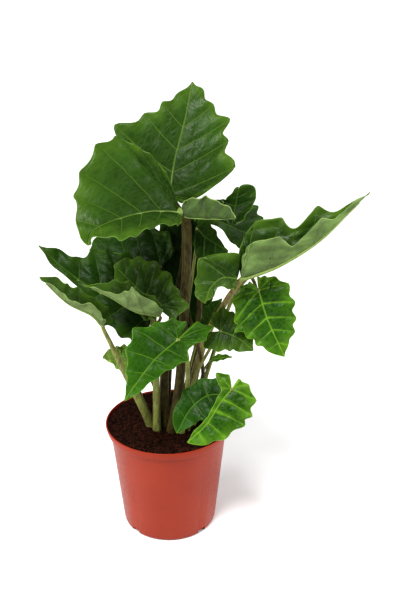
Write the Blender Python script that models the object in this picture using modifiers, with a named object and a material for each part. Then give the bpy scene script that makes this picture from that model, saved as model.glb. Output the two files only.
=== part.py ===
"""Potted alocasia: a nursery pot of soil with leaf stalks and broad, toothed leaves.

Units are metres with +Z up. The origin is the middle of the pot's underside, on the ground.
The leaf blades are separate sheets that stop a few millimetres short of their stalks.
"""
import math

import bmesh
import bpy
from mathutils import Vector

MM = 0.001
GAP = 0.3 * MM              # clearance between the pot and the soil

# Pot
POT_HEIGHT = 154 * MM
RIM_RADIUS = 85 * MM
RIM_BAND_HEIGHT = 11 * MM
RIM_OVERHANG = 6 * MM
WALL_TOP_RADIUS = RIM_RADIUS - RIM_OVERHANG
BASE_RADIUS = 64.5 * MM
FOOT_INSET = 4 * MM
FOOT_RADIUS = BASE_RADIUS - FOOT_INSET
FOOT_HEIGHT = 6 * MM
POT_WALL = 1.8 * MM
POT_FLOOR = 2.2 * MM
NOTCH_COUNT = 4
NOTCH_WIDTH = 13 * MM
NOTCH_HEIGHT = 7 * MM
NOTCH_DEPTH = 16 * MM
NOTCH_REACH = 1.5 * MM      # from the foot's edge out to the middle of the notch
TURN_STEPS = 64

# Soil
SOIL_BELOW_RIM = 4.5 * MM
SOIL_TOP = POT_HEIGHT - SOIL_BELOW_RIM
STALK_CLEARANCE = 0.5 * MM  # from the soil up to the stalks
TABLE_GROUND = 150 * MM     # the height at which the stalks start in the tables below
PLANT_LIFT = SOIL_TOP + STALK_CLEARANCE - TABLE_GROUND

# Leaves
BLADE_THICKNESS = 1.5 * MM
LOBE_DEPTH = 0.13           # how far the margin dips between two veins, as a share of the vein
VEIN_BEND = math.radians(14)    # how much a side vein turns towards the tip
TIP_LENGTH = 1.5            # mm, the short last vein
TIP_ANGLE = 10
ROWS_PER_VEIN = 2
COLUMNS = 3

# Each leaf runs from its stalk to its tip, in millimetres, and face is the way its upper side
# looks. Each half has a fan of side veins at the stalk and more up the rib, given by their
# lengths. angles are those of the first vein, the last of the fan and the last of the rib, in
# degrees from the midrib. fold lifts the half blade and curl rolls its margin up, each given at
# the stalk's end and at the tip's.
LEAVES = {
    "leaf_top": dict(
        midrib=((6, 22, 464), (12, 40, 502), (24, 62, 545), (34, 86, 590)),
        face=(0, -0.9, 0.45),
        left=dict(angles=(137, 62, 50), fan=(23, 70, 98), rib=(93, 61, 41, 20), fold=(0, 8)),
        right=dict(angles=(118, 58, 32), fan=(18, 34, 90), rib=(81, 77, 48, 28), fold=(8, 5),
                   curl=(-25, 0)),
    ),
    "leaf_left_broad": dict(
        midrib=((20, -17, 454), (-15, -42, 462), (-50, -68, 461), (-76, -87, 454), (-82, -94, 440)),
        face=(0, -0.1, 1),
        left=dict(angles=(75, 40, 60), fan=(15, 26, 38), rib=(50, 55, 50, 24), fold=(-35, 0)),
        right=dict(angles=(75, 58, 48), fan=(43, 76, 97, 118), rib=(110, 86, 60, 28), fold=(58, 28)),
    ),
    "leaf_left_lobe": dict(
        midrib=((25, -22, 452), (38, -23, 450), (60, -16, 447), (86, -6, 442)),
        face=(0.1, 0.7, -0.3),
        left=dict(angles=(80, 50, 40), fan=(3, 4), rib=(4, 4), fold=(0, 0)),
        right=dict(angles=(120, 75, 50), fan=(10, 18, 24), rib=(30, 24, 18), fold=(10, 10)),
    ),
    "leaf_curl": dict(
        midrib=((84, 14, 430), (88, 26, 448), (92, 30, 470)),
        face=(-0.1, -1, 0.15),
        left=dict(angles=(105, 70, 80), fan=(10, 18), rib=(26, 25, 14), fold=(15, 15), curl=(85, 65)),
        right=dict(angles=(105, 70, 50), fan=(10, 20), rib=(26, 28, 26), fold=(15, 0), curl=(85, -30)),
    ),
    "leaf_back_right": dict(
        midrib=((38, 24, 438), (70, 36, 424), (96, 50, 408), (120, 62, 394)),
        face=(-0.2, -0.8, 0.55),
        left=dict(angles=(86, 32, 28), fan=(8, 24, 66), rib=(70, 58, 32), fold=(0, 5)),
        right=dict(angles=(95, 50, 70), fan=(8, 14), rib=(8, 22, 24), fold=(0, 0)),
    ),
    "leaf_back_small": dict(
        midrib=((40, 14, 424), (52, 12, 411), (78, 8, 396)),
        face=(0, -0.9, 0.4),
        left=dict(angles=(125, 90, 50), fan=(13, 18), rib=(16, 8), fold=(0, 0)),
        right=dict(angles=(60, 45, 60), fan=(20, 34), rib=(36, 22), fold=(0, 0)),
    ),
    "leaf_back_centre": dict(
        midrib=((20, 66, 427), (20, 61, 380), (26, 52, 320), (38, 36, 252)),
        face=(0, -0.9, 0.4),
        left=dict(angles=(95, 45, 50), fan=(20, 40, 55), rib=(52, 46, 30), fold=(0, 0)),
        right=dict(angles=(100, 40, 55), fan=(20, 30, 55), rib=(58, 52, 30), fold=(0, 0)),
    ),
    "leaf_back_left": dict(
        midrib=((-8, 28, 366), (-36, 45, 370), (-65, 67, 370), (-106, 90, 367)),
        face=(-0.1, -0.85, 0.55),
        left=dict(angles=(155, 110, 80), fan=(20, 50, 56), rib=(56, 48, 28), fold=(0, 0)),
        right=dict(angles=(110, 50, 35), fan=(28, 48, 64), rib=(64, 54, 32), fold=(0, 0)),
    ),
    "leaf_left_long": dict(
        midrib=((-19, -22, 322), (-58, -15, 335), (-98, -5, 353), (-132, 6, 375), (-160, 18, 398)),
        face=(0.1, -0.6, 0.8),
        left=dict(angles=(105, 60, 40), fan=(24, 42, 48), rib=(38, 20, 10, 10), fold=(-20, -30)),
        right=dict(angles=(85, 50, 50), fan=(30, 62, 86), rib=(82, 62, 31, 20), fold=(15, 12)),
    ),
    "leaf_folded": dict(
        midrib=((-6, -42, 328), (-36, -53, 340), (-66, -63, 364), (-93, -72, 382)),
        face=(0.1, -0.3, 0.9),
        left=dict(angles=(90, 55, 35), fan=(10, 24), rib=(50, 30, 10, 6), fold=(70, 72), curl=(30, 25)),
        right=dict(angles=(85, 65, 55), fan=(14, 26), rib=(34, 34, 24, 10), fold=(38, 28),
                   curl=(25, 25)),
    ),
    "leaf_inner": dict(
        midrib=((-13, -26, 336), (-33, -10, 349), (-64, 2, 377)),
        face=(0, -0.8, 0.6),
        left=dict(angles=(140, 65, 55), fan=(19, 23, 27), rib=(32, 26, 14), fold=(-3, 0)),
        right=dict(angles=(175, 70, 45), fan=(33, 44, 36, 46), rib=(48, 40, 24), fold=(-3, 8)),
    ),
    "leaf_front": dict(
        midrib=((16, -58, 303), (-11, -84, 289), (-34, -108, 267), (-45, -122, 255)),
        face=(0.1, -0.8, 0.6),
        left=dict(angles=(183, 115, 100), fan=(36, 50, 36, 20), rib=(31, 26, 18, 11), fold=(12, -5)),
        right=dict(angles=(160, 75, 50), fan=(26, 28, 36), rib=(49, 38, 22, 10), fold=(18, 5)),
    ),
    "leaf_right_long": dict(
        midrib=((94, -42, 377), (140, -36, 393), (188, -22, 419), (225, -6, 450), (251, 6, 472)),
        face=(-0.5, 0.1, 0.8),
        left=dict(angles=(75, 55, 40), fan=(30, 56, 76), rib=(70, 40, 50, 20, 10), fold=(45, 53),
                  curl=(35, 30)),
        right=dict(angles=(70, 56, 30), fan=(28, 40, 49), rib=(46, 18, 34, 12, 10), fold=(61, 66),
                   curl=(35, 30)),
    ),
    "leaf_right_lobe": dict(
        midrib=((89, -46, 379), (71, -48, 381), (57, -51, 370), (50, -55, 352)),
        face=(-0.1, -0.8, 0.6),
        left=dict(angles=(80, 50, 35), fan=(14, 18), rib=(21, 19, 10), fold=(0, 0)),
        right=dict(angles=(98, 30, 50), fan=(30, 48), rib=(40, 27, 18), fold=(0, 0)),
    ),
    "leaf_lower_dark": dict(
        midrib=((70, -27, 300), (90, -33, 294), (110, -39, 280)),
        face=(0, -0.8, 0.6),
        left=dict(angles=(165, 80, 60), fan=(17, 26, 32, 30), rib=(24, 14), fold=(5, 0)),
        right=dict(angles=(150, 75, 75), fan=(22, 30, 27), rib=(21, 14), fold=(0, 0)),
    ),
    "leaf_inner_small": dict(
        midrib=((50, 15, 283), (60, 18, 304), (71, 20, 324)),
        face=(-0.2, -0.8, 0.5),
        left=dict(angles=(90, 60, 60), fan=(8, 12), rib=(17, 11), fold=(0, 0)),
        right=dict(angles=(90, 60, 60), fan=(8, 12), rib=(14, 9), fold=(0, 0)),
    ),
    "leaf_right_bright": dict(
        midrib=((117, -22, 354), (128, -31, 319), (150, -40, 272)),
        face=(0, -0.9, 0.4),
        left=dict(angles=(170, 85, 50), fan=(18, 20, 27, 39), rib=(42, 38, 30, 14), fold=(-4, 0)),
        right=dict(angles=(150, 55, 75), fan=(17, 24, 36, 50), rib=(50, 36, 28, 17), fold=(6, 0)),
    ),
    "leaf_rim_bright": dict(
        midrib=((83, -76, 244), (68, -86, 229), (52, -96, 206), (29, -102, 184)),
        face=(0.1, -0.75, 0.65),
        left=dict(angles=(185, 105, 80), fan=(16, 22, 34), rib=(42, 41, 30, 18), fold=(0, 0)),
        right=dict(angles=(130, 60, 60), fan=(18, 28, 14), rib=(8, 6, 6, 6), fold=(10, 3)),
    ),
    "leaf_rim_dark": dict(
        midrib=((72, -52, 223), (52, -60, 225), (31, -70, 211), (15, -80, 184)),
        face=(-0.1, -0.7, 0.7),
        left=dict(angles=(120, 80, 85), fan=(8, 20), rib=(27, 26, 15), fold=(0, 0)),
        right=dict(angles=(145, 80, 110), fan=(8, 16, 22), rib=(24, 24, 19), fold=(5, 3)),
    ),
    "leaf_pale": dict(
        midrib=((-52, -14, 253), (-66, -16, 255), (-81, -18, 257)),
        face=(0, 0.6, -0.8),
        left=dict(angles=(110, 80, 70), fan=(18, 23), rib=(19, 14), fold=(0, 0)),
        right=dict(angles=(110, 75, 80), fan=(14, 19), rib=(15, 6), fold=(0, 0)),
    ),
    "leaf_left_low": dict(
        midrib=((-76, -50, 318), (-88, -56, 336), (-115, -67, 357), (-142, -80, 394)),
        face=(0.1, -0.3, 0.9),
        left=dict(angles=(60, 30, 75), fan=(10, 18), rib=(20, 11, 8, 6), fold=(78, 72), curl=(15, 30)),
        right=dict(angles=(130, 75, 65), fan=(17, 25), rib=(22, 27, 21, 16), fold=(22, 26),
                   curl=(10, 30)),
    ),
    "leaf_sliver": dict(
        midrib=((57, 8, 240), (70, 8, 244), (85, 8, 246)),
        face=(0, -0.6, 0.8),
        left=dict(angles=(90, 70, 70), fan=(3, 5), rib=(7, 5), fold=(0, 0)),
        right=dict(angles=(90, 70, 70), fan=(2, 3), rib=(4, 3), fold=(0, 0)),
    ),
}

# Each stalk: base radius and top radius in mm, then its route from the soil to the leaf.
STALKS = {
    "stalk_top": (
        6.8, 4.0, ((-3, -12, 150), (-4, 4, 225), (8, 26, 300), (22, 42, 370), (23, 38, 425), (7.5, 25, 459))
    ),
    "stalk_left_broad": (
        6.8, 5.6, ((6, -26, 150), (17, -18, 225), (24, 4, 330), (28, 8, 420), (23, -11.5, 448.5))
    ),
    "stalk_back_right": (
        7.0, 2.5, ((24, 11, 150), (37, 24, 230), (42, 30, 300), (46, 34, 400), (41, 29, 430))
    ),
    "stalk_back_small": (3.2, 1.8, ((10, 25, 150), (24, 32, 280), (38, 26, 390), (39, 17, 413))),
    "stalk_back_centre": (4.0, 2.5, ((-2, 20, 150), (4, 60, 260), (10, 80, 380), (20, 71, 426))),
    "stalk_back_left": (4.2, 2.4, ((-14, 10, 150), (-18, 22, 250), (-15, 32, 320), (-8.5, 30, 361))),
    "stalk_left_long": (6.2, 3.2, ((-14, -22, 150), (-14, -21, 220), (-14, -18, 280), (-18, -20, 315))),
    "stalk_folded": (
        3.0, 2.0, ((-15, -6, 150), (-15, -8, 195), (-20, -10, 220), (-33, -22, 246), (-22, -38, 300), (-6, -43, 323))
    ),
    "stalk_inner": (
        3.0, 2.0, ((48, 2, 150), (47, -14, 240), (38, -12, 280), (28, 18, 300), (8, 12, 312), (-11, -23, 332))
    ),
    "stalk_front": (3.6, 2.6, ((20, -32, 150), (27, -37, 220), (27, -45, 275), (19, -55, 298))),
    "stalk_right_long": (
        7.4, 3.2, ((23, -9, 150), (40, -3, 240), (55, 3, 286), (78, -7, 335), (92, -40.5, 373.5))
    ),
    "stalk_lower_dark": (
        2.6, 2.0, ((16, -18.5, 150), (37, -28, 234), (52, -29, 268), (68, -26, 295.5))
    ),
    "stalk_inner_small": (2.6, 1.6, ((14, 4, 150), (28, 14, 220), (41, 20, 270), (47, 18, 280))),
    "stalk_right_bright": (
        3.6, 2.2, ((34, 4, 150), (60, 21, 240), (84, 20, 320), (104, 0, 362), (111, -10, 362), (114, -17, 354))
    ),
    "stalk_rim_bright": (3.0, 2.2, ((36, -9, 150), (48, -17, 190), (84, -44, 222), (84, -73, 241.5))),
    "stalk_rim_dark": (2.8, 2.0, ((28, -26, 150), (38, -38, 190), (58, -48, 213), (66, -50, 219))),
    "stalk_pale": (2.8, 1.8, ((-24, 2, 150), (-40, -8, 210), (-50, -13, 248))),
    "stalk_left_low": (
        7.2, 2.4, ((-24, -12, 150), (-42, -30, 215), (-56, -42, 258), (-67, -46, 290), (-75, -49, 312))
    ),
    "stalk_sliver": (2.4, 1.4, ((38, 14, 150), (46, 22, 210), (55.5, 9, 237.5))),
}

LEAF_COLOURS = {
    "leaf_top": (0.045, 0.130, 0.020),
    "leaf_left_broad": (0.060, 0.160, 0.025),
    "leaf_front": (0.050, 0.180, 0.012),
    "leaf_right_bright": (0.045, 0.190, 0.010),
    "leaf_rim_bright": (0.090, 0.240, 0.030),
    "leaf_pale": (0.200, 0.330, 0.070),
    "leaf_folded": (0.150, 0.260, 0.080),
    "leaf_right_long": (0.110, 0.210, 0.060),
}
PLAIN_LEAF = (0.025, 0.085, 0.010)
STALK_COLOUR = (0.200, 0.220, 0.060)
BROWN_STALK_COLOUR = (0.070, 0.050, 0.018)
BROWN_STALKS = ("stalk_top", "stalk_left_broad", "stalk_right_long")


def clear_scene():
    for item in list(bpy.data.objects):
        bpy.data.objects.remove(item, do_unlink=True)


def make_collection(name):
    group = bpy.data.collections.new(name)
    bpy.context.scene.collection.children.link(group)
    return group


def make_material(name, colour, roughness, metallic=0.0):
    material = bpy.data.materials.new(name)
    material.use_nodes = True
    shader = material.node_tree.nodes["Principled BSDF"]
    shader.inputs["Base Color"].default_value = (*colour, 1)
    shader.inputs["Roughness"].default_value = roughness
    shader.inputs["Metallic"].default_value = metallic
    return material


def add_object(name, data, group, parent, material=None):
    item = bpy.data.objects.new(name, data)
    group.objects.link(item)
    item.parent = parent
    if material:
        data.materials.append(material)
    return item


def smooth(values, t):
    """The smooth curve through values, which sit at whole numbers of t."""
    i = min(int(t), len(values) - 2)
    f = t - i
    before = values[i - 1] if i else 2 * values[0] - values[1]
    after = values[i + 2] if i + 2 < len(values) else 2 * values[-1] - values[-2]
    here, there = values[i], values[i + 1]
    return 0.5 * (
        2 * here
        + (there - before) * f
        + (2 * before - 5 * here + 4 * there - after) * f ** 2
        + (3 * here - before - 3 * there + after) * f ** 3
    )


def between(x, xs):
    """Where x falls in the rising list xs, as a place counted in its entries."""
    for i in range(len(xs) - 1):
        if x <= xs[i + 1] and xs[i + 1] > xs[i]:
            return i + max(0.0, x - xs[i]) / (xs[i + 1] - xs[i])
    return len(xs) - 1


def along(points, u):
    """The point a share u of the way along a smooth route."""
    lengths = [0.0]
    for a, b in zip(points, points[1:]):
        lengths.append(lengths[-1] + (b - a).length)
    return smooth(points, between(u * lengths[-1], lengths))


def turn_profile(name, profile, group, parent, material):
    """A closed body turned about Z from (radius, height) points that start and end on the axis."""
    mesh = bpy.data.meshes.new(name)
    points = [(radius, 0, height) for radius, height in profile]
    mesh.from_pydata(points, [(i, i + 1) for i in range(len(points) - 1)], [])
    item = add_object(name, mesh, group, parent, material)
    screw = item.modifiers.new("turn", "SCREW")
    screw.steps = TURN_STEPS
    screw.render_steps = TURN_STEPS
    screw.use_merge_vertices = True
    screw.merge_threshold = 0.0001
    screw.use_normal_calculate = True
    return item


def make_pot(group, cutters, parent):
    band = POT_HEIGHT - RIM_BAND_HEIGHT
    profile = [
        (0, 0),
        (FOOT_RADIUS, 0),
        (BASE_RADIUS, FOOT_HEIGHT),
        (WALL_TOP_RADIUS, band - 1 * MM),
        (RIM_RADIUS - 2 * MM, band),
        (RIM_RADIUS, POT_HEIGHT - 1 * MM),
        (RIM_RADIUS - 0.6 * MM, POT_HEIGHT),
        (RIM_RADIUS - 2 * MM, POT_HEIGHT),
        (RIM_RADIUS - 2.2 * MM, band + 4 * MM),
        (WALL_TOP_RADIUS - POT_WALL, band - 2 * MM),
        (BASE_RADIUS - POT_WALL, FOOT_HEIGHT + 1 * MM),
        (FOOT_RADIUS - POT_WALL, POT_FLOOR),
        (0, POT_FLOOR),
    ]
    material = make_material("pot_terracotta", (0.42, 0.075, 0.035), 0.42)
    pot = turn_profile("pot", profile, group, parent, material)
    for k in range(NOTCH_COUNT):
        turn = math.radians(45) + k * math.tau / NOTCH_COUNT
        cutter = make_box(f"notch_cutter_{k + 1}", (NOTCH_DEPTH, NOTCH_WIDTH, 2 * NOTCH_HEIGHT), cutters)
        reach = FOOT_RADIUS + NOTCH_REACH
        cutter.location = (math.cos(turn) * reach, math.sin(turn) * reach, 0)
        cutter.rotation_euler.z = turn
        cutter.display_type = "WIRE"
        cutter.hide_render = True
        cut = pot.modifiers.new(f"notch {k + 1}", "BOOLEAN")
        cut.operation = "DIFFERENCE"
        cut.solver = "EXACT"
        cut.object = cutter


def make_box(name, size, group):
    mesh = bpy.data.meshes.new(name)
    shape = bmesh.new()
    bmesh.ops.create_cube(shape, size=1)
    bmesh.ops.scale(shape, vec=size, verts=shape.verts)
    shape.to_mesh(mesh)
    shape.free()
    item = bpy.data.objects.new(name, mesh)
    group.objects.link(item)
    return item


def make_soil(group, parent):
    side = GAP + POT_WALL
    floor = POT_FLOOR + GAP
    profile = [
        (0, floor),
        (FOOT_RADIUS - side, floor),
        (BASE_RADIUS - side, FOOT_HEIGHT + 1.2 * MM),
        (WALL_TOP_RADIUS - side, POT_HEIGHT - RIM_BAND_HEIGHT - 2 * MM),
        (RIM_RADIUS - 3.2 * MM, SOIL_TOP - 1.9 * MM),
        (RIM_RADIUS - 4.2 * MM, SOIL_TOP - 0.8 * MM),
        (RIM_RADIUS - 12 * MM, SOIL_TOP),
        (0, SOIL_TOP),
    ]
    material = make_material("soil_dark", (0.030, 0.012, 0.007), 0.95)
    turn_profile("soil", profile, group, parent, material)


def evenly(start, end, count):
    """count values on the way from start to end, the last of them end."""
    return [start + (end - start) * (k + 1) / count for k in range(count)]


def vein_list(half):
    """A half blade's side veins: place along the midrib, angle from it, length, fold and curl."""
    first, middle, last = half["angles"]
    fan, rib = len(half["fan"]), len(half["rib"])
    count = fan + rib + 1
    places = [0.0] * fan + evenly(0, 1, rib + 1)
    angles = [first, *evenly(first, middle, fan - 1), *evenly(middle, last, rib), TIP_ANGLE]
    lengths = [*half["fan"], *half["rib"], TIP_LENGTH]
    folds, curls = ([start, *evenly(start, end, count - 2), 0]
                    for start, end in (half["fold"], half.get("curl", (0, 0))))
    return [Vector(vein) for vein in zip(places, angles, lengths, folds, curls)]


def shared_places(left, right):
    """Places along the midrib, beyond the fan of veins at its start, where both halves have a row."""
    places = sorted({round(vein[0], 3) for vein in left + right if vein[0] > 0})
    rows = []
    last = 0.0
    for place in places:
        if place - last > 0.07:
            rows.append((last + place) / 2)
        rows.append(place)
        last = place
    return rows


def row_positions(veins, places):
    """Each row of a half blade as (place along the midrib, place in the list of veins)."""
    fan = len([vein for vein in veins if vein[0] == 0]) - 1
    rows = [(0.0, k / ROWS_PER_VEIN) for k in range(fan * ROWS_PER_VEIN + 1)]
    starts = [vein[0] for vein in veins]
    return rows + [(place, between(place, starts)) for place in places]


def row_points(leaf, veins, side, place, t):
    """Points along one vein or in-between row, from the midrib to the margin."""
    midrib = [Vector(point) for point in leaf["midrib"]]
    start = along(midrib, place)
    ahead = along(midrib, min(place + 0.01, 1)) - along(midrib, max(place - 0.01, 0))
    ahead.normalize()
    face = Vector(leaf["face"])
    up = (face - face.dot(ahead) * ahead).normalized()
    out = side * up.cross(ahead)
    _, angle, length, fold, curl = smooth(veins, t)
    length = max(length, 0.5) * (1 - LOBE_DEPTH * math.sin(math.pi * (t % 1)) ** 2)
    fold = math.radians(fold)
    flat = math.cos(fold) * out + math.sin(fold) * up
    raised = math.cos(fold) * up - math.sin(fold) * out
    points = [start]
    for k in range(COLUMNS):
        s = (k + 0.5) / COLUMNS
        turn = math.radians(angle) - VEIN_BEND * (s - 0.5)
        lift = math.radians(curl) * s ** 1.3
        step = math.cos(turn) * ahead + math.sin(turn) * flat
        step = math.cos(lift) * step + math.sin(lift) * raised
        points.append(points[-1] + step * length / COLUMNS)
    return points


def add_half(shape, leaf, veins, side, places):
    """One half of a blade, as a grid laid over its rows."""
    rows = [row_points(leaf, veins, side, *row) for row in row_positions(veins, places)]
    grid = bmesh.ops.create_grid(shape, x_segments=len(rows) - 1, y_segments=COLUMNS, size=0.5)
    for vert in grid["verts"]:
        row = round((vert.co.x + 0.5) * (len(rows) - 1))
        column = round((vert.co.y + 0.5) * COLUMNS)
        vert.co = rows[row][column] * MM


def make_leaf(name, leaf, group, parent):
    left = vein_list(leaf["left"])
    right = vein_list(leaf["right"])
    places = shared_places(left, right)
    shape = bmesh.new()
    add_half(shape, leaf, left, 1, places)
    add_half(shape, leaf, right, -1, places)
    bmesh.ops.remove_doubles(shape, verts=shape.verts, dist=0.01 * MM)
    bmesh.ops.recalc_face_normals(shape, faces=shape.faces)
    mesh = bpy.data.meshes.new(name)
    shape.to_mesh(mesh)
    shape.free()
    colour = LEAF_COLOURS.get(name, PLAIN_LEAF)
    item = add_object(name, mesh, group, parent, make_material(f"{name}_green", colour, 0.38))
    skin = item.modifiers.new("thickness", "SOLIDIFY")
    skin.thickness = BLADE_THICKNESS
    skin.offset = 0
    item.location.z = PLANT_LIFT


def make_stalk(name, stalk, group, parent):
    base_radius, top_radius, route = stalk
    foot = Vector(route[0])
    points = [foot + Vector((0, 0, 6))] + [Vector(point) for point in route[1:]]
    count = 4 * (len(points) - 1) + 2
    curve = bpy.data.curves.new(name, "CURVE")
    curve.dimensions = "3D"
    curve.bevel_depth = MM
    curve.bevel_resolution = 2
    curve.use_fill_caps = True
    spline = curve.splines.new("POLY")
    spline.points.add(count - 1)
    for k, point in enumerate(spline.points):
        u = max(k - 1, 0) / (count - 2)
        spot = along(points, u) if k else foot
        point.co = (spot.x * MM, spot.y * MM, spot.z * MM, 1)
        point.radius = base_radius + (top_radius - base_radius) * u ** 0.7
    colour = BROWN_STALK_COLOUR if name in BROWN_STALKS else STALK_COLOUR
    item = add_object(name, curve, group, parent, make_material(f"{name}_green", colour, 0.5))
    item.location.z = PLANT_LIFT


def main():
    clear_scene()
    group = make_collection("potted_alocasia")
    cutters = make_collection("cutters")
    cutters.hide_render = True
    root = bpy.data.objects.new("potted_alocasia", None)
    group.objects.link(root)
    make_pot(group, cutters, root)
    make_soil(group, root)
    for name, leaf in LEAVES.items():
        make_leaf(name, leaf, group, root)
    for name, stalk in STALKS.items():
        make_stalk(name, stalk, group, root)


main()
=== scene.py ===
"""Looks of the potted alocasia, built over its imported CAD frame.

Every blade is a thin sheet grown from its midrib and side veins, with two differently coloured
faces. Lengths are in millimetres until MM turns them into metres; the camera, the floor and the
lights are placed in metres. +Z is up.
"""
import math

import bpy
import numpy as np
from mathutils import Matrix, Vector, noise


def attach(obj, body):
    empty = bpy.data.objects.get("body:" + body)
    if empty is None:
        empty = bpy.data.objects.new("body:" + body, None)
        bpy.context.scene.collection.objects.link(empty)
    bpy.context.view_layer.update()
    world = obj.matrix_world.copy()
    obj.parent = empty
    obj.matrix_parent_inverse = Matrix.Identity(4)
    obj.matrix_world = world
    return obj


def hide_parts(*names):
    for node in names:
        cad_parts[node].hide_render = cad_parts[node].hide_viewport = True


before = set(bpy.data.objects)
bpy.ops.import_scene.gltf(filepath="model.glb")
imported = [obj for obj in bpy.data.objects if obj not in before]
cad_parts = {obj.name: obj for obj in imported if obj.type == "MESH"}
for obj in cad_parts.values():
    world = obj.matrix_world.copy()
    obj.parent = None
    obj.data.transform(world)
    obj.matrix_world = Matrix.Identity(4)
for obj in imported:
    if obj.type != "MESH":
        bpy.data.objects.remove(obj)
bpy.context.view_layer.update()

MM = 0.001
ROWS_PER_VEIN = 9           # rows of a blade's mesh between two neighbouring veins
COLUMNS = 18                # steps of that mesh from the midrib to the margin
PLACE_STEP = 0.025          # longest step between rows along the midrib
VEIN_BEND = math.radians(14)
TIP_LENGTH = 1.5
TIP_ANGLE = 10              # degrees between the midrib and the last vein
BAY_DEPTH = 0.13            # how far the margin dips between veins, as a share of their length
BAY_SHARPNESS = 1.7
RUFFLE = 1.6                # height of the margin's waves
BLADE_THICKNESS = 0.8 * MM

STALK_RINGS = 60
RIB_RINGS = 30              # rings of the part that runs on under the blade
STALK_SIDES = 20
STALK_BURIED = 3            # how far a stalk's foot reaches down below its start
STALK_UPRIGHT = 6           # how far it rises straight up before it leans

POT_HEIGHT = 154
RIM_RADIUS = 85
RIM_BAND_HEIGHT = 11
RIM_OVERHANG = 6
WALL_TOP_RADIUS = RIM_RADIUS - RIM_OVERHANG
BASE_RADIUS = 64.5
FOOT_INSET = 4
FOOT_RADIUS = BASE_RADIUS - FOOT_INSET
FOOT_HEIGHT = 6
POT_STEPS = 128
NOTCH_COUNT = 4
NOTCH_WIDTH = 13
NOTCH_HEIGHT = 7
NOTCH_DEPTH = 16
NOTCH_REACH = 1.5           # from the foot's edge out to the middle of the notch
SOIL_BELOW_RIM = 4.5
SOIL_TOP = POT_HEIGHT - SOIL_BELOW_RIM
SOIL_RINGS = 46
SOIL_SIDES = 160
SOIL_WALL_GAP = 2.4         # from the pot's wall radii in to the soil

FLOOR_SIZE = 60
WORLD_STRENGTH = 0.36
SUN_STRENGTH = 2.9
SUN_SPREAD = math.radians(20)
LAMP_SIZE = 0.8
LAMP_POWER = 12
LAMP_TARGET = (0, 0, 0.3)

CAMERA_PLACE = (0.0487, -1.0, 0.76)
CAMERA_DOWN = math.radians(23.6)
CAMERA_LENS = 50

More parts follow.
